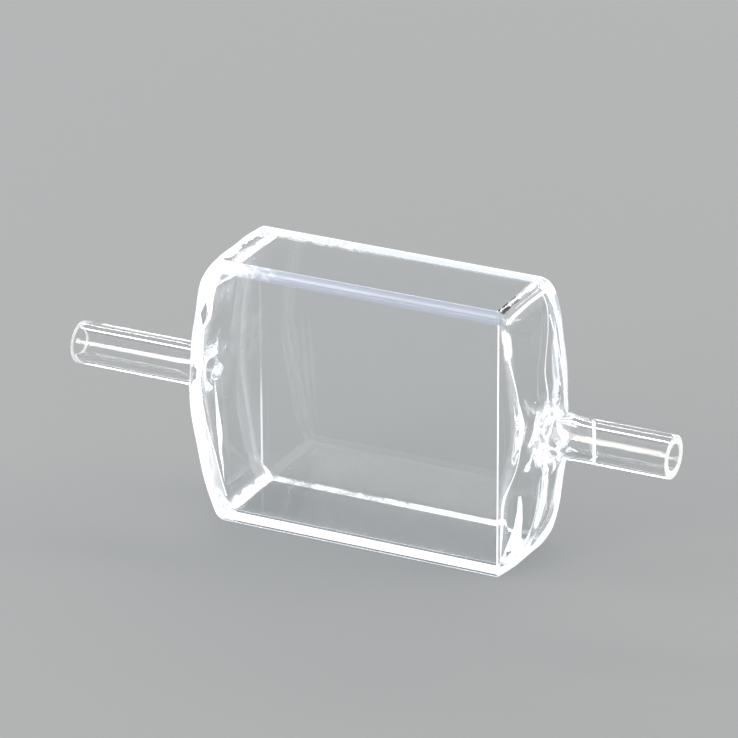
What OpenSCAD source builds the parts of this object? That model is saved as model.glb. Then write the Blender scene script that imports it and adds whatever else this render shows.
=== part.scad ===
// Flow-through cuvette, fused from clear quartz as one piece.
//
// A flat tank with two parallel windows stands on its bottom wall. A dome closes each end of it,
// and a straight tube stub is welded to the middle of each dome, on the tank's own axis.
//
// X runs along the tubes, from inlet to outlet. Y runs through the windows. Z is up.
// The origin lies on the surface that the cuvette stands on, midway between the two tube ends.
// All sizes are in millimetres.

/* [Tank] */
// Width of the flat windows, along the tubes
window_w = 35; // [20:0.5:60]
// Height over the top and bottom walls
tank_h = 32; // [20:0.5:60]
// Depth over the two windows
tank_d = 12.5; // [10:0.5:25]
// Thickness of each window
window_t = 1.25; // [0.9:0.05:2]
// Thickness of the top and bottom walls
rim_t = 1.25; // [0.9:0.05:2.5]
// Radius of the long edges outside
edge_r = 0.8; // [0.3:0.05:1.5]
// Radius of the long edges inside
inner_r = 0.5; // [0.2:0.05:1.2]

/* [Closed ends] */
// How far the inlet dome stands out past the windows
inlet_dome = 5; // [3:0.1:8]
// How far the outlet dome stands out past the windows
outlet_dome = 3.8; // [3:0.1:8]
// Thickness of the domes at their middle
dome_t = 1.5; // [0.9:0.05:2.5]
// How far the inlet dome stands out at the windows, as a share of its middle
inlet_rim = 0.71; // [0.3:0.01:0.95]
// How far the outlet dome stands out at the windows, as a share of its middle
outlet_rim = 0.73; // [0.3:0.01:0.95]
// Fullness of the crown across the depth, from window to window: higher is squarer
crown_power = 3; // [2:0.5:12]
// Fullness of the inlet dome over its height: 2 is an ellipse
inlet_power = 1.45; // [1.3:0.05:3]
// Fullness of the outlet dome over its height: 2 is an ellipse
outlet_power = 1.9; // [1.3:0.05:3]

/* [Tube stubs] */
// Outside diameter of both stubs
tube_od = 5; // [4:0.1:8]
// Bore of both stubs
tube_id = 3; // [1.5:0.1:3.5]
// Length of the inlet stub past its dome
inlet_len = 16; // [8:0.5:40]
// Length of the outlet stub past its dome
outlet_len = 14.6; // [8:0.1:40]
// Radius of the weld fillet at the root of each stub
weld_r = 0.9; // [0.3:0.05:1.5]

/* [Hidden] */
$fn = 96;

// Steps along half a ring's upright side, half its level side and one of its corners
upright_steps = 6;
level_steps = 3;
corner_steps = 4;
// Rings between a dome's foot and its middle
dome_rings = 10;
// How far a cut runs past the face that it opens
overrun = 1;

// Distance of each tube end from the middle of the windows
inlet_reach = window_w / 2 + inlet_dome + inlet_len;
outlet_reach = window_w / 2 + outlet_dome + outlet_len;
// Middle of the windows, seen from midway between the tube ends
window_x = (inlet_reach - outlet_reach) / 2;

// Height of a dome over the point y, z of a tank of half depth a and half height b. The shape is
// [rise, rim, power]: the rise at the middle, the share of it left at the windows, the fullness.
function dome_at(shape, y, z, a, b) =
    shape[0] * (1 - (1 - shape[1]) * pow(abs(y) / a, crown_power))
    * pow(1 - pow(abs(z) / b, shape[2]), 1 / shape[2]);

// A quarter of a rounded rectangle of half depth a, half height b and corner radius r, as [y, z],
// from the middle of the window to the middle of the top wall
function quarter(a, b, r) = concat(
    [for (i = [0 : upright_steps - 1]) [a, (b - r) * i / upright_steps]],
    [for (i = [0 : corner_steps])
        let (q = 90 * i / corner_steps) [a - r + r * cos(q), b - r + r * sin(q)]],
    [for (i = [level_steps - 1 : -1 : 0]) [(a - r) * i / level_steps, b]]
);

// The quarter turned into a whole ring by two reflections, with shared end points left out once
function flip_y(list) = [for (i = [len(list) - 2 : -1 : 0]) [-list[i][0], list[i][1]]];
function flip_z(list) = [for (i = [len(list) - 2 : -1 : 1]) [list[i][0], -list[i][1]]];
function ring(a, b, r) =
    let (q = quarter(a, b, r), upper = concat(q, flip_y(q))) concat(upper, flip_z(upper));

// One ring of a dome on a tank of half sizes a and b, shrunk to the share c of the foot. Its corners
// get rounder as it shrinks. side is 1 at the outlet and -1 at the inlet.
function dome_ring(a, b, r, c, side, shape) =
    [for (p = ring(c * a, c * b, c * (r + (1 - c) * (a - r))))
        [side * (window_w / 2 + dome_at(shape, p[0], p[1], a, b)), p[0], p[1]]];

// A tank with a dome at each end, lofted through its rings from the inlet pole to the outlet pole.
// The domes stand out by their sizes less the sink.
module domed_tank(a, b, r, sink) {
    inlet = [inlet_dome - sink, inlet_rim, inlet_power];
    outlet = [outlet_dome - sink, outlet_rim, outlet_power];
    shares = [for (i = [1 : dome_rings]) sin(90 * i / dome_rings)];
    rings = concat(
        [for (i = [0 : dome_rings - 1])
            dome_ring(a, b, r, shares[i], -1, inlet)],
        [for (i = [dome_rings - 1 : -1 : 0])
            dome_ring(a, b, r, shares[i], 1, outlet)]
    );
    n = len(rings[0]);
    points = concat(
        [[-window_w / 2 - inlet[0], 0, 0]],
        [for (one = rings) each one],
        [[window_w / 2 + outlet[0], 0, 0]]
    );
    last = len(points) - 1;
    top = last - n;
    faces = concat(
        [for (i = [0 : n - 1]) [0, 1 + i, 1 + (i + 1) % n]],
        [for (k = [0 : len(rings) - 2]) for (i = [0 : n - 1])
            let (p = 1 + k * n + i, q = 1 + k * n + (i + 1) % n)
            each [[p, p + n, q + n], [p, q + n, q]]],
        [for (i = [0 : n - 1]) [last, top + (i + 1) % n, top + i]]
    );
    polyhedron(points = points, faces = faces, convexity = 6);
}

// A round bar on the tube axis, from the middle of the tank out to a reach on one side
module axial_bar(d, reach, side) {
    rotate([0, side * 90, 0]) cylinder(d = d, h = reach);
}

// The weld at the root of a stub: a concave fillet whose foot sinks into the dome around it
module weld(shape, side) {
    foot_r = tube_od / 2 + weld_r;
    foot_x = window_w / 2 + dome_at(shape, 0, foot_r, tank_d / 2, tank_h / 2);
    rotate([0, side * 90, 0])
        translate([0, 0, foot_x])
            rotate_extrude()
                difference() {
                    translate([0, -dome_t / 2]) square([foot_r, dome_t / 2 + weld_r]);
                    translate([foot_r, weld_r]) circle(r = weld_r);
                }
}

// The whole cuvette: tank, stubs and welds in one solid, hollow from end to end
module flow_cell() {
    color([0.84, 0.92, 0.96, 0.4])
        translate([window_x, 0, tank_h / 2])
            difference() {
                union() {
                    domed_tank(tank_d / 2, tank_h / 2, edge_r, 0);
                    axial_bar(tube_od, inlet_reach, -1);
                    axial_bar(tube_od, outlet_reach, 1);
                    weld([inlet_dome, inlet_rim, inlet_power], -1);
                    weld([outlet_dome, outlet_rim, outlet_power], 1);
                }
                domed_tank(tank_d / 2 - window_t, tank_h / 2 - rim_t, inner_r, dome_t);
                axial_bar(tube_id, inlet_reach + overrun, -1);
                axial_bar(tube_id, outlet_reach + overrun, 1);
            }
}

flow_cell();
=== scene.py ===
"""A flow-through cuvette of clear fused quartz, with a pale studio around it.

The glass is one closed skin: it runs out over the tank and its two stubs, turns in at each tube
end and comes back through the bores and the cavity. Lengths are in metres.
"""

import functools
import math
from collections import namedtuple

import bpy
import numpy as np
from bpy.props import FloatProperty, FloatVectorProperty, IntProperty, PointerProperty
from bpy.types import Operator, Panel, PropertyGroup
from mathutils import Matrix, Vector


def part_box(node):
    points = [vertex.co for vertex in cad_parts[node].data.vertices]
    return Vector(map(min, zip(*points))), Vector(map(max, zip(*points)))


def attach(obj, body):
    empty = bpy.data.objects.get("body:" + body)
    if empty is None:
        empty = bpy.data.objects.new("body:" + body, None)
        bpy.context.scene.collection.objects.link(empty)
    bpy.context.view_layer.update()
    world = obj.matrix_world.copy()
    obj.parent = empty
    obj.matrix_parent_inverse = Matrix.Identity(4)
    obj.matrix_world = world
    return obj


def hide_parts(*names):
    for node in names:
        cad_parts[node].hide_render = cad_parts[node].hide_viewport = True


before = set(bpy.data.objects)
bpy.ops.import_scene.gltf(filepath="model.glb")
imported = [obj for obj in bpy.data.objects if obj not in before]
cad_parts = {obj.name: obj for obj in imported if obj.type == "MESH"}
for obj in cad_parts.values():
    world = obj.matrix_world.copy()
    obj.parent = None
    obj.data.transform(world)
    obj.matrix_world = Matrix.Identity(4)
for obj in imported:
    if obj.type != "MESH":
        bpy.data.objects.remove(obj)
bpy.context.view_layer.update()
LOW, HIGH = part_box("flow_cell")

bl_info = {
    "name": "Flow-through cuvette",
    "version": (1, 0, 0),
    "blender": (4, 5, 0),
    "location": "3D View > Sidebar > Cuvette",
    "description": "Builds a fused quartz flow-through cuvette and a studio to see it in",
    "category": "Add Mesh",
}

MM = 0.001


# ---------------------------------------------------------------- sizes and colours


class TankSizes(PropertyGroup):
    """Sizes of the flat tank and of the domes that close it"""

    window_width: FloatProperty(
        name="Window width",
        description="Width of the flat windows, along the tubes",
        default=35 * MM,
        unit="LENGTH",
    )
    height: FloatProperty(
        name="Height",
        description="Height over the top and bottom walls",
        default=HIGH.z - LOW.z,
        unit="LENGTH",
    )
    depth: FloatProperty(
        name="Depth",
        description="Depth over the two windows",
        default=HIGH.y - LOW.y,
        unit="LENGTH",
    )
    wall: FloatProperty(
        name="Wall",
        description="Thickness of the windows and of the top and bottom walls",
        default=1.25 * MM,
        unit="LENGTH",
    )
    edge_radius: FloatProperty(
        name="Outer edge radius",
        description="Radius of the long edges outside",
        default=0.8 * MM,
        unit="LENGTH",
    )
    inner_radius: FloatProperty(
        name="Inner edge radius",
        description="Radius of the long edges of the cavity",
        default=0.5 * MM,
        unit="LENGTH",
    )
    arris: FloatProperty(
        name="Arris",
        description="Width of the rounding where the tank's long walls meet an end wall",
        default=0.55 * MM,
        unit="LENGTH",
    )
    inlet_dome: FloatProperty(
        name="Inlet dome",
        description="How far the inlet dome stands out past the windows",
        default=5 * MM,
        unit="LENGTH",
    )
    outlet_dome: FloatProperty(
        name="Outlet dome",
        description="How far the outlet dome stands out past the windows",
        default=3.8 * MM,
        unit="LENGTH",
    )
    dome_wall: FloatProperty(
        name="Dome wall",
        description="Thickness of the domes at their middle",
        default=1.5 * MM,
        unit="LENGTH",
    )
    crown_power: FloatProperty(
        name="Crown of the end walls over the depth",
        description="Higher is squarer",
        default=3,
    )
    inlet_shoulder: FloatProperty(
        name="Inlet shoulder",
        description="How far the inlet's end wall swells near its top",
        default=0.4 * MM,
        unit="LENGTH",
    )
    outlet_shoulder: FloatProperty(
        name="Outlet shoulder",
        description="How far the outlet's end wall swells near its top",
        default=0.05 * MM,
        unit="LENGTH",
    )
    inlet_power_low: FloatProperty(
        name="Inlet dome fullness below the axis",
        description="2 is an ellipse",
        default=1.32,
    )
    outlet_power_low: FloatProperty(
        name="Outlet dome fullness below the axis",
        description="2 is an ellipse",
        default=1.9,
    )
    outlet_pinch: FloatProperty(
        name="Outlet pinch",
        description="How far the outlet's front rim is drawn in away from the axis",
        default=0.8,
        subtype="FACTOR",
    )
    inlet_lip: FloatProperty(
        name="Inlet lip at the top",
        description="What is left of the inlet's rise at the top wall, as a share",
        default=0.08,
    )
    outlet_lip: FloatProperty(
        name="Outlet lip at the top",
        description="What is left of the outlet's rise at the top wall, as a share",
        default=-0.06,
    )
    outlet_lip_low: FloatProperty(
        name="Outlet lip at the bottom",
        description="What is left of the outlet's rise at the bottom wall, as a share",
        default=0.08,
    )
    cavity_pinch: FloatProperty(
        name="Cavity pinch",
        description="How far the front rims of the cavity are drawn in away from the axis",
        default=0.35,
        subtype="FACTOR",
    )
    inlet_corner: FloatProperty(
        name="Inlet corner of the cavity at the top",
        description="Extra glass in the top corner of the cavity at the inlet",
        default=2.2 * MM,
        unit="LENGTH",
    )
    inlet_corner_low: FloatProperty(
        name="Inlet corner of the cavity at the bottom",
        description="Extra glass in the bottom corner of the cavity at the inlet",
        default=1.2 * MM,
        unit="LENGTH",
    )
    inlet_rim: FloatProperty(
        name="Inlet rim",
        description="How far the inlet's end wall stands out at the windows, as a share",
        default=0.71,
        subtype="FACTOR",
    )
    outlet_rim: FloatProperty(
        name="Outlet rim",
        description="How far the outlet's end wall stands out at the windows, as a share",
        default=0.73,
        subtype="FACTOR",
    )
    inlet_power: FloatProperty(
        name="Inlet dome fullness over the height",
        description="2 is an ellipse",
        default=1.5,
    )
    outlet_power: FloatProperty(
        name="Outlet dome fullness over the height",
        description="2 is an ellipse",
        default=1.95,
    )


class StubSizes(PropertyGroup):
    """Sizes of the two tube stubs and their welds"""

    outside: FloatProperty(
        name="Outside diameter",
        description="Outside diameter of both stubs",
        default=5 * MM,
        unit="LENGTH",
    )
    bore: FloatProperty(
        name="Bore",
        description="Bore of both stubs",
        default=3 * MM,
        unit="LENGTH",
    )
    outlet_length: FloatProperty(
        name="Outlet stub length",
        description="Length of the outlet stub past its dome",
        default=14.6 * MM,
        unit="LENGTH",
    )
    weld: FloatProperty(
        name="Weld",
        description="Radius of the fillet at the root of each stub",
        default=0.9 * MM,
        unit="LENGTH",
    )
    rim: FloatProperty(
        name="Rim rounding",
        description="Rounding of the ground rims at the tube ends",
        default=0.12 * MM,
        unit="LENGTH",
    )
    seam_place: FloatProperty(
        name="Seam place",
        description="Distance of the seam round the outlet stub from the end of the stub",
        default=9.7 * MM,
        unit="LENGTH",
    )
    seam_width: FloatProperty(
        name="Seam width",
        description="Width of the seam round the outlet stub",
        default=0.38 * MM,
        unit="LENGTH",
    )
    seam_slant: FloatProperty(
        name="Seam slant",
        description="Angle between the seam and a square cut through the stub",
        default=math.radians(26.4),
        subtype="ANGLE",
    )


class Handwork(PropertyGroup):
    """How far the flame-worked glass strays from its drawing"""

    dome_ripple: FloatProperty(
        name="Dome ripple",
        description="Height of the slow waves on the domes",
        default=0.1 * MM,
        unit="LENGTH",
    )
    weld_lumps: FloatProperty(
        name="Weld lumps",
        description="Height of the lumps in the welds",
        default=0.25 * MM,
        unit="LENGTH",
    )
    inlet_share: FloatProperty(
        name="Inlet share",
        description="Height of the lumps in the inlet's weld, as a share of the outlet's",
        default=0.3,
        subtype="FACTOR",
    )
    seed: IntProperty(
        name="Seed", description="Chooses one set of waves and lumps", default=7
    )


class QuartzFinish(PropertyGroup):
    """Colours and finish of the glass, and the colours and strengths of its painted highlights,
    reflection and glow
    """

    clear: FloatVectorProperty(
        name="Clear quartz",
        description="Tint of the clear glass",
        default=(0.985, 0.992, 0.995),
        subtype="COLOR",
    )
    ground: FloatVectorProperty(
        name="Ground quartz",
        description="Colour of the ground rims and of the seam",
        default=(0.92, 0.93, 0.93),
        subtype="COLOR",
    )
    # Colour of the painted highlights: whitish milk along the edges, rims and welds that stands in
    # for light they catch
    fused: FloatVectorProperty(
        name="Fused edges",
        description="Colour of the milky glass where the plates are fused together",
        default=(0.95, 0.97, 1.0),
        subtype="COLOR",
    )
    # Colour of a painted bluish reflection along the front top edge
    painted_front_edge_reflection: FloatVectorProperty(
        name="Front top edge",
        description="Colour of the cooler, fainter milk along the front top edge",
        default=(0.34, 0.38, 0.47),
        subtype="COLOR",
    )
    # How strongly the painted highlights whiten the glass
    painted_highlight_strength: FloatProperty(
        name="Milkiness",
        description="How milky the fused edges are",
        default=0.92,
        subtype="FACTOR",
    )
    # Colour of a painted glow that rays pick up at their later turns inside the walls
    glow: FloatVectorProperty(
        name="Trapped light",
        description="Light that a ray caught in the walls picks up at each of its later turns",
        default=(0.135, 0.145, 0.165),
        subtype="COLOR",
    )
    # Strength of a painted glow that the highlights and the ground rims give off in their own colour
    lift: FloatProperty(
        name="Lift of the fused edges",
        description="Light that the walls carry out through the fused edges",
        default=0.6,
    )
    index: FloatProperty(
        name="Refractive index",
        description="Refractive index of fused quartz",
        default=1.458,
    )
    let_through: FloatVectorProperty(
        name="Light let through",
        description="Share of a lamp's light that one skin of the glass lets pass",
        default=(0.9, 0.91, 0.92),
        subtype="COLOR",
    )


class StudioSetup(PropertyGroup):
    """The floor, the lamps and the camera"""

    floor: FloatVectorProperty(
        name="Floor",
        description="Colour of the floor",
        default=(0.42, 0.43, 0.44),
        subtype="COLOR",
    )
    surroundings: FloatVectorProperty(
        name="Surroundings",
        description="Colour of the room round the floor",
        default=(0.42, 0.43, 0.44),
        subtype="COLOR",
    )
    ambient: FloatProperty(
        name="Ambient light",
        description="Strength of the room's light on the floor",
        default=0.35,
    )
    camera_azimuth: FloatProperty(
        name="Camera azimuth",
        description="Angle of the camera from the front, towards the outlet",
        default=math.radians(26.4),
        subtype="ANGLE",
    )
    camera_elevation: FloatProperty(
        name="Camera elevation",
        description="Angle of the camera above the floor",
        default=math.radians(23.7),
        subtype="ANGLE",
    )
    camera_roll: FloatProperty(
        name="Camera roll",
        description="Turn of the camera about its own axis",
        default=math.radians(-0.2),
        subtype="ANGLE",
    )
    camera_distance: FloatProperty(
        name="Camera distance",
        description="Distance of the camera from the middle of the tank",
        default=617.8 * MM,
        unit="LENGTH",
    )
    camera_lens: FloatProperty(
        name="Focal length",
        description="Focal length in millimetres, on a 36 mm sensor",
        default=268.3,
    )
    aim_left: FloatProperty(
        name="Aim left of the tank",
        description="How far left of the middle of the tank the camera aims",
        default=1.281 * MM,
        unit="LENGTH",
    )
    aim_above: FloatProperty(
        name="Aim above the tank",
        description="How far above the middle of the tank the camera aims",
        default=3.488 * MM,
        unit="LENGTH",
    )


SETTINGS = {
    "cuvette_tank": TankSizes,
    "cuvette_stubs": StubSizes,
    "cuvette_handwork": Handwork,
    "cuvette_finish": QuartzFinish,
    "cuvette_studio": StudioSetup,
}


# ---------------------------------------------------------------- the shape

# The shoulder of an end wall: where its bell lies and how wide it is, in half heights
SHOULDER_AT, SHOULDER_SPAN = 0.79, 0.13
# Keeps the powers smooth at the axis
AXIS_SOFTENING = 1e-4
# The front rim is drawn in from this height on, in full after this span, and less above it
PINCH_AT, PINCH_SPAN, PINCH_ABOVE = 0.15, 0.65, 0.5
# Share of the half height from which the glass in the cavity's corners grows
CORNER_FROM = 0.8

# Rings along a dome, round an arris, along a tube, on a ground rim and along the windows
DOME_RINGS, ARRIS_RINGS, TUBE_RINGS, RIM_RINGS, WINDOW_RINGS = 26, 7, 25, 3, 34
# Rings round an outer weld and round the cavity's
WELD_RINGS, MOUTH_RINGS = 10, 6
# How closely a dome's rings crowd at its rim
DOME_CROWDING = 1.3
# Length of a weld along the tube, in weld radii, and radius of the cavity's, in outer ones
WELD_RUN, MOUTH_SHARE = 0.9, 0.6

# Shortest and longest waves of the ripples and of the lumps
RIPPLE_WAVES = (5 * MM, 11 * MM)
LUMP_WAVES = (1.8 * MM, 3.6 * MM)
# The marks grow over this distance past the windows, and fade along the tubes from the first
# of these distances over the second
MARKS_GROW = 1.2 * MM
MARKS_FADE_FROM, MARKS_FADE = 5 * MM, 2.2 * MM
# The lumps reach this far out from the tube and fade over this distance
LUMPS_REACH, LUMPS_FADE = 3.2 * MM, 2.2 * MM
# Stands for the distance from a rim where there is none
FAR_FROM_RIM = 99 * MM


def tank_middle(tank, stubs):
    """X of the middle of the windows. The origin is midway between the two tube ends."""
    return (HIGH.x - LOW.x) / 2 - tank.window_width / 2 - tank.outlet_dome - stubs.outlet_length


def smooth(x):
    """0 below 0, 1 above 1 and 3x^2 - 2x^3 between."""
    x = np.clip(x, 0.0, 1.0)
    return x * x * (3 - 2 * x)


def waves(points, lengths, seed, count=10):
    """A slow, seamless noise: the sum of sine waves in random directions over the root of their
    number, each sin(k . p + f) with a wavelength between the two lengths."""
    chance = np.random.default_rng(seed)
    way = chance.normal(size=(count, 3))
    way /= np.linalg.norm(way, axis=1, keepdims=True)
    k = 2 * math.pi / chance.uniform(*lengths, size=(count, 1)) * way
    f = chance.uniform(0, 2 * math.pi, size=count)
    return np.sin(points @ k.T + f).sum(axis=-1) / math.sqrt(count)


def rounded_ring(half_y, half_z, radius, hold):
    """The outline of a rounded rectangle as [y, z] rows, from +Y towards +Z. One quarter is a
    straight side, a quarter circle of the radius, and a straight top; each straight part has a
    point close to the circle, so that shading stays flat up to it. The other quarters mirror it."""
    q = np.linspace(0, math.pi / 2, 11)
    rise = np.append(np.linspace(0, half_z - radius - 4 * hold, 13), half_z - radius - hold)
    run = np.append(half_y - radius - hold, np.linspace(half_y - radius - 4 * hold, 0, 6))
    quarter = np.concatenate(
        [
            np.stack([np.full(rise.size, half_y), rise], 1),
            np.stack(
                [half_y - radius + radius * np.cos(q), half_z - radius + radius * np.sin(q)], 1
            ),
            np.stack([run, np.full(run.size, half_z)], 1),
        ]
    )
    upper = np.concatenate([quarter, quarter[-2::-1] * (-1, 1)])
    return np.concatenate([upper, upper[-2:0:-1] * (1, -1)])


def dome_height(yz, half_y, half_z, end, sink):
    """Height of an end wall over the points y, z of a tank of those half sizes.

    Over the height it is the rise less the sink times (1 - |z/half_z|^power)^(1/power), with one
    power above the axis and one below, squeezed to run from 1 at the axis to the lip at the top
    or bottom wall, plus a bell for the shoulder. Over the depth it falls by
    (1 - rim) |y/half_y|^crown, where the rim is drawn in towards the front by a smooth step that
    grows with the distance from the axis. A smooth step over the outer fifth of the height then
    takes the corner off."""
    y = yz[..., 0] / half_y
    z = yz[..., 1] / half_z
    power = np.where(z > 0, end["above"], end["below"])
    bell = np.exp(-(((z - SHOULDER_AT) / SHOULDER_SPAN) ** 2))
    lip = np.where(z > 0, end["lip"], end["lip_low"])
    full = np.clip(1 - np.sqrt(z * z + AXIS_SOFTENING) ** power, 0, 1) ** (1 / power)
    full = lip + (1 - lip) * full
    up = (end["rise"] - sink) * full + end["shoulder"] * bell
    drawn = end["pinch"] * smooth(np.abs(z - PINCH_AT) / PINCH_SPAN)
    drawn = drawn * np.where(z > PINCH_AT, PINCH_ABOVE, 1.0) * (y < 0)
    corner = np.where(z > 0, end["corner"], end["corner_low"])
    cut = smooth((np.abs(z) - CORNER_FROM) / (1 - CORNER_FROM)) * corner
    return up * (1 - (1 - end["rim"] * (1 - drawn)) * np.abs(y) ** end["crown"]) - cut


def corner_cut(a, k, c, steps):
    """Rings that round the corner ring k between rings a and c: the quadratic Bezier curve
    (1-t)^2 a + 2t(1-t) k + t^2 c at steps inner values of t, with both ends."""
    t = np.linspace(0, 1, steps + 2)[:, None, None]
    return (1 - t) ** 2 * a + 2 * t * (1 - t) * k + t**2 * c


def end_rings(tank, half_y, half_z, radius, end, sink, tube, foot, tube_end, steps):
    """The rings from one end of the straight tank out to the end of its stub, as x, y, z over
    the tank's middle with x outwards, and how near each ring is to the middle of the arris.

    A dome ring lies the share c of the way from the circle round the weld to the tank's outline,
    raised by dome_height. A weld ring swings from the dome to the tube along a quarter of a
    rounded corner. Tube rings are circles."""
    hold = tank.arris / 2
    outline = rounded_ring(half_y, half_z, radius, hold)
    n = len(outline)
    turn = 2 * math.pi * np.arange(n) / n
    circle = np.stack([np.cos(turn), np.sin(turn)], 1)
    foot_x = tank.window_width / 2

    def dome_ring(c):
        yz = (1 - c) * foot * circle + c * outline
        x = foot_x + dome_height(yz, half_y, half_z, end, sink)
        return np.concatenate([x[:, None], yz], 1)

    near = 1 - tank.arris / (tank.depth / 2)
    shares = near * (1 - (1 - np.linspace(0, 1, DOME_RINGS)) ** DOME_CROWDING)
    dome = np.stack([dome_ring(c) for c in shares[::-1]])
    corner = dome_ring(1.0)
    straight = corner - (tank.arris, 0, 0)
    arris = corner_cut(straight, corner, dome[0], ARRIS_RINGS)[:-1]

    q = np.radians(np.linspace(0, 90, steps + 1))[1:, None]
    start = dome[-1]
    reach = foot_x + end["rise"] - sink + (foot - tube) * WELD_RUN
    x = start[:, 0] + (reach - start[:, 0]) * (1 - np.cos(q))
    r = tube + (foot - tube) * (1 - np.sin(q))
    weld = np.stack([x, r * circle[:, 0], r * circle[:, 1]], -1)

    along = np.linspace(reach, tube_end, TUBE_RINGS)[1:, None]
    pipe = np.stack(np.broadcast_arrays(along, tube * circle[:, 0], tube * circle[:, 1]), -1)
    t = np.zeros(len(arris) + len(dome) + len(weld) + len(pipe))
    t[: len(arris)] = np.linspace(0, 1, len(arris), endpoint=False)
    return np.concatenate([arris, dome, weld, pipe]), np.sin(math.pi * t)


def grid_normals(rings):
    """Unit normals of a grid that closes both ways: the cross product of the differences between
    the neighbours on either side, pointing to the left of the way the rings run."""
    along = np.roll(rings, -1, 0) - np.roll(rings, 1, 0)
    round_ = np.roll(rings, -1, 1) - np.roll(rings, 1, 1)
    normal = np.cross(round_, along)
    size = np.linalg.norm(normal, axis=-1, keepdims=True)
    return normal / np.maximum(size, 1e-12)


def end_shapes(tank, stubs):
    """What dome_height needs of each end wall, and how far its tube end is from the middle of
    the tank, by side: 1 is the outlet and -1 the inlet."""
    half_length, middle = (HIGH.x - LOW.x) / 2, tank_middle(tank, stubs)
    both = {"crown": tank.crown_power, "corner": 0.0, "corner_low": 0.0}
    outlet = {
        "rise": tank.outlet_dome,
        "rim": tank.outlet_rim,
        "above": tank.outlet_power,
        "below": tank.outlet_power_low,
        "shoulder": tank.outlet_shoulder,
        "pinch": tank.outlet_pinch,
        "lip": tank.outlet_lip,
        "lip_low": tank.outlet_lip_low,
        "reach": half_length - middle,
    }
    inlet = {
        "rise": tank.inlet_dome,
        "rim": tank.inlet_rim,
        "above": tank.inlet_power,
        "below": tank.inlet_power_low,
        "shoulder": tank.inlet_shoulder,
        "pinch": 0.0,
        "lip": tank.inlet_lip,
        "lip_low": 0.0,
        "reach": half_length + middle,
    }
    return {1: {**both, **outlet}, -1: {**both, **inlet}}


def drawn_rings(tank, stubs):
    """All rings of the skin as drawn, over the middle of the tank: from there out over the
    outlet, in at its tube end, back through bore, cavity and bore, in at the inlet's tube end
    and over the inlet. With them come each ring's kind, how near it is to the middle of an
    arris, and how far from the middle of the tank the inlet's rim lies all the way round."""
    half_y, half_z = tank.depth / 2, tank.height / 2
    tube, bore = stubs.outside / 2, stubs.bore / 2
    ends = end_shapes(tank, stubs)

    def half(side, inside):
        end = ends[side]
        tube_end = end["reach"] - stubs.rim
        if inside:
            end = {**end, "pinch": max(end["pinch"], tank.cavity_pinch)}
            if side < 0:
                end["corner"], end["corner_low"] = tank.inlet_corner, tank.inlet_corner_low
            rings, arris = end_rings(
                tank, half_y - tank.wall, half_z - tank.wall, tank.inner_radius, end,
                tank.dome_wall, bore, bore + stubs.weld * MOUTH_SHARE, tube_end, MOUTH_RINGS,
            )
        else:
            rings, arris = end_rings(
                tank, half_y, half_z, tank.edge_radius, end,
                0.0, tube, tube + stubs.weld, tube_end, WELD_RINGS,
            )
        return rings * (side, 1, 1), arris

    def rim(side):
        outer, inner = half(side, False)[0][-1], half(side, True)[0][-1]
        out_corner, in_corner = outer.copy(), inner.copy()
        out_corner[:, 0] = in_corner[:, 0] = side * ends[side]["reach"]
        out_face = out_corner * (1, 1 - stubs.rim / tube, 1 - stubs.rim / tube)
        in_face = in_corner * (1, 1 + stubs.rim / bore, 1 + stubs.rim / bore)
        outward = corner_cut(outer, out_corner, out_face, RIM_RINGS)[1:]
        inward = corner_cut(in_face, in_corner, inner, RIM_RINGS)[:-1]
        return np.concatenate([outward, inward])

    def straight(ring_from, ring_to):
        t = (1 - np.cos(np.linspace(0, math.pi, WINDOW_RINGS)[1:-1, None, None])) / 2
        return ring_from + (ring_to - ring_from) * t

    (out_1, edge_1), (out_2, edge_2) = half(1, False), half(-1, False)
    (in_1, cove_1), (in_2, cove_2) = half(1, True), half(-1, True)
    rim_1, rim_2 = rim(1), rim(-1)
    bed, cover = straight(in_1[0], in_2[0]), straight(out_2[0], out_1[0])
    parts = [
        ("outer", out_1, edge_1),
        ("rim", rim_1, np.zeros(len(rim_1))),
        ("inner", in_1[::-1], cove_1[::-1]),
        ("inner", bed, np.zeros(len(bed))),
        ("inner", in_2, cove_2),
        ("rim", rim_2[::-1], np.zeros(len(rim_2))),
        ("outer", out_2[::-1], edge_2[::-1]),
        ("outer", cover, np.zeros(len(cover))),
    ]
    rings = np.concatenate([p for _, p, _ in parts])
    kind = np.concatenate([np.full(len(p), name) for name, p, _ in parts])
    arris = np.concatenate([e for _, _, e in parts])
    return rings, kind, arris, np.abs(out_2[0, :, 0])


def flame_marks(rings, kind, tank, stubs, work):
    """The rings moved along their normals by what flame work leaves: slow ripples on the end
    walls and finer lumps round the welds, both none at the windows and on the tubes."""
    past = np.abs(rings[..., 0]) - tank.window_width / 2
    off_window = smooth(past / MARKS_GROW)
    off_tube = 1 - smooth((past - MARKS_FADE_FROM) / MARKS_FADE)
    radius = np.hypot(rings[..., 1], rings[..., 2])
    by_weld = smooth((stubs.outside / 2 + LUMPS_REACH - radius) / LUMPS_FADE)
    by_weld = by_weld * off_window * off_tube
    ripples = np.where(
        (kind == "inner")[:, None],
        waves(rings, RIPPLE_WAVES, work.seed),
        waves(rings, RIPPLE_WAVES, work.seed + 1),
    )
    lumps = waves(rings, LUMP_WAVES, work.seed + 2)
    rough = np.where(rings[..., 0] > 0, work.weld_lumps, work.weld_lumps * work.inlet_share)
    height = work.dome_ripple * ripples * off_window * off_tube * (1 - by_weld)
    height += rough * lumps * by_weld
    return rings + grid_normals(rings) * height[..., None]


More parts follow.
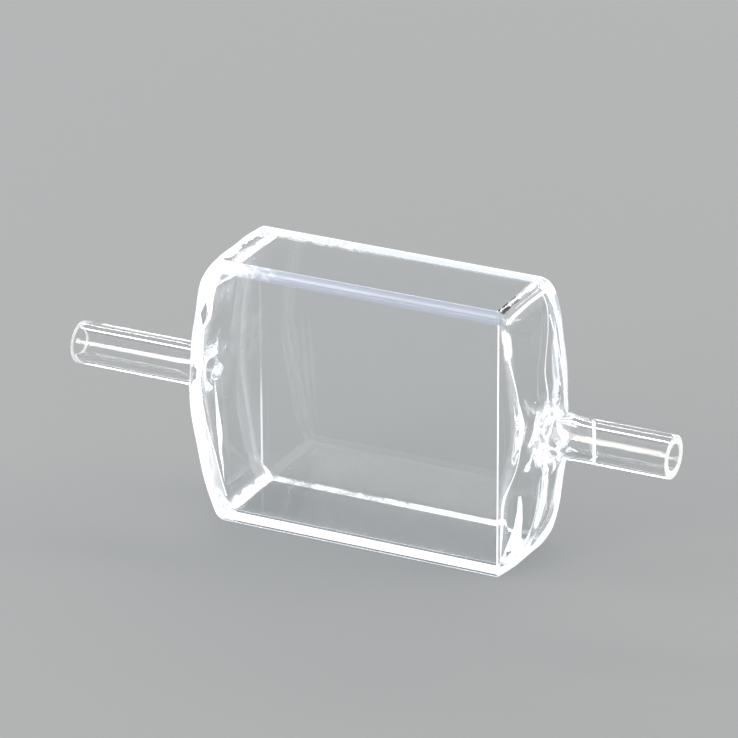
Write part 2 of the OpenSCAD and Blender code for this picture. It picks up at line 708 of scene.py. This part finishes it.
def cuvette_rings(tank, stubs, work):
    """The rings of the finished skin in place, each ring's kind, and for each point how much painted
    highlight it carries, whether it is on the outer skin, and how many millimetres it is nearer to
    the middle of the tank than the inlet's rim at the same place round the tank."""
    drawn, kind, arris, inlet_rim = drawn_rings(tank, stubs)
    rings = flame_marks(drawn, kind, tank, stubs, work)
    rings[..., 0] += tank_middle(tank, stubs)
    rings[..., 2] += tank.height / 2
    # fused holds the painted highlight share of each point: whitish, glowing milk along the edges,
    # rims and welds
    fused = painted_edge_highlights(rings, kind, arris, tank, stubs)
    outer = np.where(kind == "outer", 1.0, 0.0)[:, None] * np.ones(rings.shape[1])
    edge = np.where(outer > 0, inlet_rim - np.abs(drawn[..., 0]), FAR_FROM_RIM)
    return rings, kind, {"fused": fused, "outer": outer, "edge": edge / MM}


def bump(x):
    """1 at 0, 0 beyond 1 and smooth between."""
    return 1 - smooth(np.abs(x))


def edge_shares(inner, x, y, z, past, angle, on_arc):
    """How much painted highlight the tank's long edges carry. Each follows the angle round its
    circle, up over the first tenth and down over the last, but the front foot starts nearer to its
    underside. They fade out a little past the windows."""
    back, top = y > 0, z > 0
    arc = smooth(angle / 0.1) * smooth((1 - angle) / 0.1) * on_arc
    foot = ~inner & (y < 0) & (z < 0)
    foot_arc = smooth((angle - 0.4) / 0.1) * smooth((1 - angle) / 0.1) * on_arc
    towards_inlet = 1 - 0.75 * smooth((x + 7 * MM) / (9 * MM))
    towards_outlet = 0.5 + 0.45 * smooth((x + 4 * MM) / (12 * MM))
    share = np.select(
        [inner & back & top, inner & back, inner & top, inner, back & top, back, top],
        [0.5 * towards_inlet, towards_outlet, 0.1, 0.15, towards_inlet, 0.6, 0.1],
        1.3,
    )
    share = share * np.where(inner & (z < 0), 1 - smooth((x - 12.3 * MM) / MM), 1)
    fade = np.where((x < 0) & top, 2 * MM, 0.6 * MM)
    return np.where(foot, 1.3 * foot_arc, share * arc) * (1 - smooth(past / fade))


def rim_shares(inner, x, y, z, half_z):
    """How much painted highlight the rims of the end walls carry, first by their ends, then by side.
    """
    outlet, front, height = x > 0, y < 0, z / half_z
    low = 1 - smooth((z + 3 * MM) / (3 * MM))
    return np.select(
        [
            (height > 0.9) & ~inner & outlet,
            (height > 0.8) & ~inner & ~outlet,
            (height > 0.9) & inner & outlet,
            (height > 0.9) & inner,
            (height < -0.9) & (inner | outlet),
            outlet & front,
            outlet,
            front,
        ],
        [0.1, 1.2, 0.2, 1.0, 1.1, 0.38 + 0.75 * smooth((z - 10.3 * MM) / MM), 0.45 + 0.4 * low, 0.45],
        0.3,
    )


def painted_edge_highlights(rings, kind, arris, tank, stubs):
    """How much painted highlight each point of the skin carries: the largest of the shares of its
    long edge, of its end wall's rim, which is a sine across the arris, and of its weld, which is a
    bump about the weld's foot."""
    inner = (kind == "inner")[:, None]
    half_y = tank.depth / 2 - np.where(inner, tank.wall, 0)
    half_z = tank.height / 2 - np.where(inner, tank.wall, 0)
    radius = np.where(inner, tank.inner_radius, tank.edge_radius)
    x = rings[..., 0] - tank_middle(tank, stubs)
    y, z = rings[..., 1], rings[..., 2] - tank.height / 2
    past = np.abs(x) - tank.window_width / 2
    dy, dz = np.abs(y) - (half_y - radius), np.abs(z) - (half_z - radius)
    angle = np.arctan2(np.maximum(dz, 0), np.maximum(dy, 0)) / (math.pi / 2)
    long_edge = edge_shares(inner, x, y, z, past, angle, (dy > 0) & (dz > 0))
    rim = rim_shares(inner, x, y, z, half_z) * arris[:, None]
    foot = np.hypot(y, z) - stubs.outside / 2 - 0.4 * MM
    on_dome = smooth(past / MM) * (1 - smooth((past - tank.outlet_dome - 0.4 * MM) / MM))
    weld = bump(foot / (1.3 * MM)) * on_dome * np.where(x > 0, 0.7, 0.15)
    return np.maximum.reduce([long_edge, rim, weld])


def skin_mesh(name, rings, slots, shares):
    """A mesh from a grid of points that closes both ways: one quad for each grid cell."""
    rows, n = rings.shape[:2]
    i, j = np.meshgrid(np.arange(rows), np.arange(n), indexing="ij")
    i2, j2 = (i + 1) % rows, (j + 1) % n
    quads = np.stack([i * n + j, i * n + j2, i2 * n + j2, i2 * n + j], -1).reshape(-1, 4)
    mesh = bpy.data.meshes.new(name)
    mesh.vertices.add(rows * n)
    mesh.vertices.foreach_set("co", rings.reshape(-1).astype(np.float32))
    mesh.loops.add(quads.size)
    mesh.loops.foreach_set("vertex_index", quads.reshape(-1).astype(np.int32))
    mesh.polygons.add(len(quads))
    mesh.polygons.foreach_set("loop_start", np.arange(0, quads.size, 4, dtype=np.int32))
    mesh.polygons.foreach_set("use_smooth", np.ones(len(quads), bool))
    mesh.polygons.foreach_set("material_index", slots.reshape(-1).astype(np.int32))
    mesh.update(calc_edges=True)
    mesh.validate()
    for label, share in shares.items():
        layer = mesh.attributes.new(label, "FLOAT", "POINT")
        layer.data.foreach_set("value", share.reshape(-1).astype(np.float32))
    return mesh


# ---------------------------------------------------------------- materials


def rgba(colour):
    """A colour with full alpha."""
    return (*colour, 1.0)


class Signal:
    """A node's output that can be used in sums, so that shader maths reads as Python."""

    def __init__(self, graph, socket):
        self.graph, self.socket = graph, socket

    def _sum(self, operation, first, second=0.0):
        return self.graph.add(
            "ShaderNodeMath", {"operation": operation}, {0: first, 1: second}
        )

    def __add__(self, other):
        return self._sum("ADD", self, other)

    def __mul__(self, other):
        return self._sum("MULTIPLY", self, other)

    def __sub__(self, other):
        return self._sum("SUBTRACT", self, other)

    def __rsub__(self, other):
        return self._sum("SUBTRACT", other, self)

    def __lt__(self, other):
        return self._sum("LESS_THAN", self, other)

    def __gt__(self, other):
        return self._sum("GREATER_THAN", self, other)

    def __abs__(self):
        return self._sum("ABSOLUTE", self)

    def max(self, other):
        return self._sum("MAXIMUM", self, other)

    def min(self, other):
        return self._sum("MINIMUM", self, other)

    def output(self, name):
        """Another output of the same node."""
        return Signal(self.graph, self.socket.node.outputs[name])

    def between(self, low, high):
        """1 where the signal lies between two limits, and 0 elsewhere."""
        return (self > low) * (self < high)

    def ramp(self, start, end, low=0.0, high=1.0):
        """A smooth step from low to high as the signal runs from start to end."""
        return self.graph.add(
            "ShaderNodeMapRange",
            {"interpolation_type": "SMOOTHSTEP"},
            {"Value": self, "From Min": start, "From Max": end, "To Min": low, "To Max": high},
        )

    __radd__, __rmul__ = __add__, __mul__


class Graph:
    """The node tree of one material or world."""

    def __init__(self, owner):
        owner.use_nodes = True
        self.tree = owner.node_tree
        self.tree.nodes.clear()

    def add(self, kind, settings=None, inputs=None, output=0):
        """Makes one node: its settings first, then each socket's value or link, and gives back
        the chosen output."""
        node = self.tree.nodes.new(kind)
        for name, value in (settings or {}).items():
            setattr(node, name, value)
        for name, value in (inputs or {}).items():
            socket = node.inputs[name]
            if isinstance(value, Signal):
                self.tree.links.new(value.socket, socket)
            else:
                socket.default_value = value
        return Signal(self, node.outputs[output]) if node.outputs else None

    def attribute(self, name):
        return self.add("ShaderNodeAttribute", {"attribute_name": name}, output="Fac")

    def noise(self, place, scale, detail):
        inputs = {"Vector": place, "Scale": scale, "Detail": detail}
        return self.add("ShaderNodeTexNoise", {}, inputs, output="Fac")

    def mix(self, share, one, other):
        """A colour that goes from one to the other as the share goes from 0 to 1."""
        inputs = {0: share, 6: rgba(one), 7: rgba(other)}
        return self.add("ShaderNodeMix", {"data_type": "RGBA"}, inputs, output=2)


# Where a point of the glass lies: x and z from the middle of the tank, the distance from the
# inlet's rim, 1 on the outer skin, and a slow and a fast noise about 0 that keep lines unruled
Skin = namedtuple("Skin", "x y z edge outer wobble grain")


def upright(across, z, place, lean, half_width):
    """1 within half a width of a line that crosses the axis at a place and leans by a share of
    its height."""
    return abs(across + z * lean - place) < half_width


def seam_line(skin, stubs, tube_end):
    """The seam round the outlet stub, a slanted ring that is faint at the back."""
    slanted = skin.x + skin.y * math.tan(stubs.seam_slant) - (tube_end - stubs.seam_place)
    off_bore = skin.y * skin.y + skin.z * skin.z > (stubs.outside * 0.47) ** 2
    return (abs(slanted) < stubs.seam_width / 2) * off_bore * (0.2 + 0.8 * (skin.y < 0))


def arch_line(skin, half_y, half_z):
    """A thin painted highlight line in the outlet's end wall, close to its front rim, with a swelling
    that is highest a little above the axis."""
    swelling_at, swelling_run = 3.2 * MM, 2.6 * MM
    thin, swollen = 0.1 * MM, 0.45 * MM
    swelling = (1 - abs(skin.z - swelling_at) * (1 / swelling_run)).max(0)
    inward = skin.y + half_y - 0.06 * MM
    return inward.between(0, thin + swelling * swollen) * (abs(skin.z) < half_z - 1.8 * MM)


def low_band(skin):
    """A broad painted highlight band at the back of the outlet's end wall, below the axis. Lower down
    it curls to the front. It is strongest at its border and where the wall stands out nearly as far
    as the inlet's rim, and a thin line runs beside it."""
    y, z, wobble, grain = skin.y, skin.z, skin.wobble, skin.grain
    curl_from, curl_run, curl = -9.5 * MM, 4.6 * MM, 6.5 * MM
    deep = (curl_from - z.min(curl_from)) * (1 / curl_run)
    across = y + deep * deep * deep * curl - 1.5 * MM + wobble * 1.2 * MM
    narrowing = (z + 6 * MM).max(0) * 0.9
    behind = across - (1.9 * MM - deep * 1.3 * MM + narrowing + grain * 1.2 * MM)
    proud = skin.edge + wobble * 0.6 * MM < 0.6 * MM
    band = (behind > 0) * behind.ramp(0.5 * MM, 1.2 * MM, 1, 0.25).max(proud)
    hair = (abs(across + 3.4 * MM) < 0.12 * MM) * (z > -11 * MM) * 0.6
    torn = z + wobble * 1.5 * MM + grain * 1.5 * MM + (y - 4.5 * MM) * 0.5
    return band.max(hair) * (torn < -2.4 * MM)


def high_lines(skin):
    """Painted highlight lines in the outlet's end wall above the axis: a wavy one, a leaning rib and
    a wedge in the back top corner."""
    y, z, wobble = skin.y, skin.z, skin.wobble
    bend = z.ramp(7 * MM, 15 * MM, -0.8 * MM, 3 * MM)
    wavy = (abs(y - bend + wobble * 0.9 * MM) < 0.14 * MM) * z.between(4 * MM, 15.2 * MM)
    rib = upright(y + wobble * 0.5 * MM, z, place=4.02 * MM, lean=0.087, half_width=0.17 * MM)
    rib = rib * z.between(2.5 * MM, 12.9 * MM)
    corner = (z > 14.2 * MM) * (y > 4 * MM)
    wedge = (abs(y - 4.6 * MM) < (z - 11.3 * MM) * 0.22).max(corner)
    return (wavy.max(rib) * 0.8).max(wedge)


def outlet_lines(skin, tank, end, half_y, half_z):
    """The painted highlight lines in the outlet's end wall, with a wedge in its front that widens
    downwards.
    """
    tip, spread, off_bottom = -5.9 * MM, 0.085, 3.3 * MM
    wedge_width = 0.12 * MM - (skin.z - tip) * spread
    wedge = abs(skin.y + 5 * MM + skin.wobble * 0.8 * MM) < wedge_width
    wedge = wedge * skin.z.between(off_bottom - half_z, tip)
    wall = skin.outer * skin.x.between(end + 0.3 * MM, end + tank.outlet_dome)
    return wall * arch_line(skin, half_y, half_z).max(low_band(skin)).max(high_lines(skin)).max(wedge)


def inlet_lines(skin, end, half_y):
    """Painted highlights at the front of the inlet's end: a band of changing width along its rim with
    a diamond of clear glass in it, a leaning crease with a fainter painted highlight beyond it, and a
    tapered stripe."""
    x, z, wobble = skin.x, skin.z, skin.wobble
    width = 1.25 * MM - (-3 * MM - z).max(0) * 0.09 - (z + 3 * MM).max(0).min(3.5 * MM) * 0.086
    width = width + (z - 7.5 * MM).max(0).min(1.5 * MM) * 0.4
    diamond = abs(skin.edge - 0.6 * MM) + abs(z - 9.4 * MM) * 0.33 < 0.5 * MM
    band = (skin.edge + wobble * 0.8 * MM < width) * (1 - diamond)
    across = x - wobble * 0.5 * MM
    crease = upright(across, z, place=-20.24 * MM, lean=0.304, half_width=0.09 * MM)
    beyond = across + z * 0.304 + 20.24 * MM < 0
    crease = (crease * 0.9).max(beyond * 0.3) * z.between(-12.6 * MM, 0.5 * MM)
    taper = (1 - abs(z + 4.5 * MM) * (1 / (6.5 * MM))).max(0)
    across = x + wobble * 0.5 * MM
    stripe = upright(across, z, place=-17.62 * MM, lean=0.079, half_width=taper * 0.32 * MM)
    front = skin.outer * (skin.y < -half_y * 0.99) * (x < -end * 0.9)
    return front * band.max(crease).max(stripe)


def tank_lines(skin, tank, end, half_y, half_z):
    """Painted highlight lines along the edges of the tank: the joint at the outlet's end of the front
    window, the far edge of the cavity, two hairs on the back top edge, a ridge in the cavity's top
    corner at the outlet, a band along the foot of the front window and one along the inlet's top
    edge."""
    x, y, z, outer = skin.x, skin.y, skin.z, skin.outer
    joint = (abs(x - end) < 0.1 * MM) * (y < -half_y * 0.99) * 0.95
    cavity_y = half_y - tank.wall
    far = (abs(x + end) < 0.13 * MM) * (abs(y - cavity_y) < 0.02 * cavity_y)
    far = far * z.ramp(0, -7 * MM, 0.08, 0.75)
    back_top = outer * (y > half_y - 0.8 * MM) * (z > half_z - 0.8 * MM) * (abs(x) < end)
    hairs = ((y > half_y - 0.1 * MM) * (z < half_z - 0.45 * MM)).max(z > half_z - 0.04 * MM)
    crest = back_top * hairs * (x > -6 * MM) * 0.9
    ridge = (1 - outer) * (abs(z - half_z + 1.65 * MM) < 0.13 * MM) * x.between(end, end + 2 * MM)
    foot = outer * (y < 0.15 * MM - half_y) * (abs(z + half_z - 1.15 * MM) < 0.55 * MM)
    foot = foot * (abs(x) < end + 0.5 * MM)
    ragged = x + skin.wobble * 1.5 * MM + skin.grain * 1.5 * MM
    brow = (abs(ragged + end + 0.1 * MM) < MM).max((ragged < -end) * 0.25)
    brow = brow * outer * (z > half_z - 0.3 * MM)
    return functools.reduce(Signal.max, (joint, far, crest, ridge, foot, brow))


def painted_trapped_glow(graph, skin, tank, end, glow):
    """Painted glow: an emitted colour that a ray picks up where it turns often inside the walls,
    standing in for light trapped there, less of it in the front window and in the top wall."""
    half_y, half_z = tank.depth / 2, tank.height / 2
    turns = graph.add("ShaderNodeLightPath", output="Glossy Depth")
    window = (abs(skin.x) < end) * (skin.y < tank.wall * 1.1 - half_y)
    top = skin.z > half_z - tank.wall * 1.1
    front_top = top * (skin.y < tank.depth * 0.32)
    right_top = top * skin.x.ramp(-9 * MM, MM, 0, 0.72)
    kept = (1 - 0.93 * window) * (1 - 0.94 * front_top) * (1 - right_top)
    return graph.mix(turns.between(1.5, 6.5) * kept, (0, 0, 0), glow)


def clear_quartz_painted_highlights(finish, tank, stubs):
    """Polished clear glass with painted highlights, a whitish milk along its edges, rims, welds and
    lines.
    Rays from lamps and from matt surfaces pass straight through, so that the floor stays free of
    grain."""
    material = bpy.data.materials.new("clear_quartz_painted_highlights")
    graph = Graph(material)
    end, half_y, half_z = tank.window_width / 2, tank.depth / 2, tank.height / 2
    middle = tank_middle(tank, stubs)
    place = graph.add("ShaderNodeTexCoord", output="Object")
    split = graph.add("ShaderNodeSeparateXYZ", {}, {0: place})
    mottle, slow = graph.noise(place, 900.0, 3.0), graph.noise(place, 260.0, 1.0)
    skin = Skin(
        x=split - (HIGH.x + LOW.x) / 2 - middle,
        y=split.output(1),
        z=split.output(2) - half_z,
        edge=graph.attribute("edge") * MM,
        outer=graph.attribute("outer") > 0.5,
        wobble=slow - 0.5,
        grain=mottle - 0.5,
    )
    glass = graph.add(
        "ShaderNodeBsdfPrincipled",
        {},
        {
            "Base Color": rgba(finish.clear),
            "Roughness": 0.0,
            "IOR": finish.index,
            "Transmission Weight": 1.0,
            # Painted glow where rays turn often inside the walls
            "Emission Color": painted_trapped_glow(graph, skin, tank, end, finish.glow),
            "Emission Strength": 1.0,
        },
    )
    # Painted highlights along the edges, rims and welds, made patchy
    patchy = graph.attribute("fused") * mottle.ramp(0.35, 0.62, 0.6, 1.1)
    milky = patchy.ramp(0.35, 0.65, 0, finish.painted_highlight_strength).max(patchy * 0.5)
    # Painted highlight lines, and the seam round the outlet stub, all in the same whitish milk
    lines = outlet_lines(skin, tank, end, half_y, half_z).max(inlet_lines(skin, end, half_y))
    lines = lines.max(tank_lines(skin, tank, end, half_y, half_z))
    lines = lines.max(seam_line(skin, stubs, (HIGH.x - LOW.x) / 2 - middle))
    # Painted reflection along the front top edge: a cool bluish band, turning to the white highlight
    # and blotchy towards the inlet
    front_edge = skin.outer * (skin.y < 0.8 * MM - half_y) * (skin.z > half_z - 1.3 * MM)
    front_edge = front_edge * (abs(skin.x) < end + 0.3 * MM)
    share = milky.max(lines).max(front_edge * 0.78)
    cool = (skin.x + skin.grain * 12 * MM).ramp(-17 * MM, -10 * MM)
    colour = graph.mix(cool * front_edge, finish.fused, finish.painted_front_edge_reflection)
    # The painted highlight shader: whitish milk in the highlight colour
    milk = graph.add(
        "ShaderNodeBsdfPrincipled",
        {},
        {
            "Base Color": colour,
            "Roughness": 0.3,
            "IOR": finish.index,
            # Painted glow: the highlight milk gives off its own colour as light
            "Emission Color": colour,
            "Emission Strength": finish.lift,
        },
    )
    glazed = graph.add("ShaderNodeMixShader", {}, {0: share, 1: glass, 2: milk})
    open_ = graph.add("ShaderNodeBsdfTransparent", {}, {"Color": rgba(finish.let_through)})
    diffuse = graph.add("ShaderNodeLightPath", output="Is Diffuse Ray")
    shadow = graph.add("ShaderNodeLightPath", output="Is Shadow Ray")
    matt = graph.add("ShaderNodeMixShader", {}, {0: diffuse, 1: glazed, 2: open_})
    surface = graph.add("ShaderNodeMixShader", {}, {0: shadow, 1: matt, 2: open_})
    graph.add("ShaderNodeOutputMaterial", {}, {"Surface": surface})
    return material


def ground_quartz_painted_glow(finish):
    """Matt, whitish glass of the ground rims, with fine specks of darker glass and a painted glow in
    its own colour.
    """
    material = bpy.data.materials.new("ground_quartz_painted_glow")
    graph = Graph(material)
    place = graph.add("ShaderNodeTexCoord", output="Object")
    darker = tuple(0.72 * c for c in finish.ground)
    colour = graph.mix(graph.noise(place, 2600.0, 2.0) > 0.62, finish.ground, darker)
    surface = graph.add(
        "ShaderNodeBsdfPrincipled",
        {},
        {
            "Base Color": colour,
            "Roughness": 0.55,
            "IOR": finish.index,
            # Painted glow of the ground rims in their own colour
            "Emission Color": colour,
            "Emission Strength": finish.lift * 0.6,
        },
    )
    graph.add("ShaderNodeOutputMaterial", {}, {"Surface": surface})
    return material


def studio_floor(studio):
    """Plain matt colour of the floor."""
    material = bpy.data.materials.new("studio_floor")
    graph = Graph(material)
    surface = graph.add(
        "ShaderNodeBsdfPrincipled",
        {},
        {"Base Color": rgba(studio.floor), "Roughness": 0.9, "Specular IOR Level": 0.0},
    )
    graph.add("ShaderNodeOutputMaterial", {}, {"Surface": surface})
    return material


# ---------------------------------------------------------------- operators


class CUVETTE_OT_flow_cell(Operator):
    """Makes the glass of the cuvette and its two stubs as one closed skin"""

    bl_idname = "cuvette.flow_cell"
    bl_label = "Flow cell"

    def execute(self, context):
        scene = context.scene
        tank, stubs = scene.cuvette_tank, scene.cuvette_stubs
        rings, kind, shares = cuvette_rings(tank, stubs, scene.cuvette_handwork)
        slots = np.zeros(rings.shape[:2], int)
        ground = (kind == "rim") & (np.roll(kind, -1) == "rim")
        slots[ground] = 1
        mesh = skin_mesh("flow_cell_glass", rings, slots, shares)
        glass = bpy.data.objects.new("flow_cell_glass", mesh)
        scene.collection.objects.link(glass)
        mesh.materials.append(clear_quartz_painted_highlights(scene.cuvette_finish, tank, stubs))
        mesh.materials.append(ground_quartz_painted_glow(scene.cuvette_finish))
        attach(glass, "root")
        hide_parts("flow_cell")
        return {"FINISHED"}


# Half the side of the square floor
FLOOR_REACH = 3.0
# Width of the camera's sensor, in millimetres
SENSOR = 36
# Most turns of a ray in the glass, and most skins that it may pass unbent
MOST_TURNS, MOST_SKINS = 24, 12

# Each lamp's azimuth and elevation in degrees, distance, width, height, radiance and colour
LAMPS = {
    "softbox_top": (20, 82, 0.55, 0.35, 0.35, 0.85, (1, 1, 1)),
    "softbox_left": (-70, 24, 0.6, 0.3, 0.28, 5, (0.93, 0.97, 1)),
    "strip_front": (-27, 27, 0.6, 0.14, 0.34, 8, (1, 0.96, 0.88)),
    "softbox_right": (118, 24, 0.6, 0.35, 0.28, 5, (1, 0.98, 0.94)),
    "softbox_back": (200, 39, 0.6, 0.5, 0.07, 10, (1, 0.99, 0.96)),
}


def towards(azimuth, elevation):
    """The unit vector from the tank at an angle from the front, towards the outlet, and at one
    above the floor, both in radians."""
    level = math.cos(elevation)
    return Vector(
        (math.sin(azimuth) * level, -math.cos(azimuth) * level, math.sin(elevation))
    )


def add_floor(scene, studio):
    """A square floor round the origin."""
    mesh = bpy.data.meshes.new("floor")
    corners = [(-1, -1), (1, -1), (1, 1), (-1, 1)]
    points = [(x * FLOOR_REACH, y * FLOOR_REACH, 0) for x, y in corners]
    mesh.from_pydata(points, [], [(0, 1, 2, 3)])
    floor = bpy.data.objects.new("floor", mesh)
    scene.collection.objects.link(floor)
    mesh.materials.append(studio_floor(studio))


def add_lamp(scene, centre, name, azimuth, elevation, distance, width, height, radiance, colour):
    """A flat lamp that faces the tank."""
    back = towards(math.radians(azimuth), math.radians(elevation))
    light = bpy.data.lights.new(name, "AREA")
    light.shape = "RECTANGLE"
    light.size, light.size_y = width, height
    light.energy = radiance * math.pi * width * height
    light.color = colour
    lamp = bpy.data.objects.new(name, light)
    lamp.location = centre + back * distance
    lamp.rotation_euler = back.to_track_quat("Z", "Y").to_euler()
    scene.collection.objects.link(lamp)


def add_surroundings(scene, studio):
    """A room of one colour to the eye and in the glass, which lights matt surfaces faintly."""
    world = bpy.data.worlds.new("surroundings")
    scene.world = world
    graph = Graph(world)
    rays = ("Is Camera Ray", "Is Glossy Ray", "Is Transmission Ray")
    seen = sum(graph.add("ShaderNodeLightPath", output=ray) for ray in rays)
    white, pale = (1, 1, 1, 1), rgba(studio.surroundings)
    room = graph.add("ShaderNodeBackground", {}, {"Color": white, "Strength": studio.ambient})
    view = graph.add("ShaderNodeBackground", {}, {"Color": pale, "Strength": 1.0})
    surface = graph.add("ShaderNodeMixShader", {}, {0: seen, 1: room, 2: view})
    graph.add("ShaderNodeOutputWorld", {}, {"Surface": surface})


def add_camera(scene, centre, studio):
    """The camera, which stands at its angle from the tank and aims a little off its middle."""
    azimuth = studio.camera_azimuth
    back = towards(azimuth, studio.camera_elevation)
    right = Vector((math.cos(azimuth), math.sin(azimuth), 0))
    up = back.cross(right)
    place = centre + back * studio.camera_distance
    aim = centre - right * studio.aim_left + up * studio.aim_above
    back = (place - aim).normalized()
    right = up.cross(back).normalized()
    up = back.cross(right)
    turn = Matrix((right, up, back)).transposed() @ Matrix.Rotation(studio.camera_roll, 3, "Z")
    data = bpy.data.cameras.new("camera")
    data.lens = studio.camera_lens
    data.sensor_width = SENSOR
    data.clip_start, data.clip_end = 0.01, 20
    camera = bpy.data.objects.new("camera", data)
    camera.matrix_world = Matrix.Translation(place) @ turn.to_4x4()
    scene.collection.objects.link(camera)
    scene.camera = camera


class CUVETTE_OT_studio(Operator):
    """Makes the floor, the soft lamps, the pale surroundings and the camera"""

    bl_idname = "cuvette.studio"
    bl_label = "Studio"

    def execute(self, context):
        scene = context.scene
        studio = scene.cuvette_studio
        tank = scene.cuvette_tank
        centre = Vector((tank_middle(tank, scene.cuvette_stubs), 0, tank.height / 2))
        add_floor(scene, studio)
        for name, setup in LAMPS.items():
            add_lamp(scene, centre, name, *setup)
        add_surroundings(scene, studio)
        add_camera(scene, centre, studio)
        scene.view_settings.view_transform = "Standard"
        scene.cycles.max_bounces = MOST_TURNS
        scene.cycles.glossy_bounces = MOST_TURNS
        scene.cycles.transmission_bounces = MOST_TURNS
        scene.cycles.transparent_max_bounces = MOST_SKINS
        return {"FINISHED"}


class CUVETTE_PT_panel(Panel):
    """Lists the pieces and their sizes"""

    bl_label = "Cuvette"
    bl_idname = "CUVETTE_PT_panel"
    bl_space_type = "VIEW_3D"
    bl_region_type = "UI"
    bl_category = "Cuvette"

    def draw(self, context):
        layout = self.layout
        for operator in OPERATORS:
            layout.operator(operator.bl_idname)
        for name, group in SETTINGS.items():
            box = layout.box()
            box.label(text=group.__doc__)
            values = getattr(context.scene, name)
            for key in group.__annotations__:
                box.prop(values, key)


OPERATORS = (CUVETTE_OT_flow_cell, CUVETTE_OT_studio)
CLASSES = (*SETTINGS.values(), *OPERATORS, CUVETTE_PT_panel)


def register():
    for cls in CLASSES:
        bpy.utils.register_class(cls)
    for name, group in SETTINGS.items():
        setattr(bpy.types.Scene, name, PointerProperty(type=group))


def unregister():
    for name in SETTINGS:
        delattr(bpy.types.Scene, name)
    for cls in reversed(CLASSES):
        bpy.utils.unregister_class(cls)


def main():
    register()
    bpy.ops.cuvette.flow_cell()
    bpy.ops.cuvette.studio()


if __name__ == "__main__":
    main()
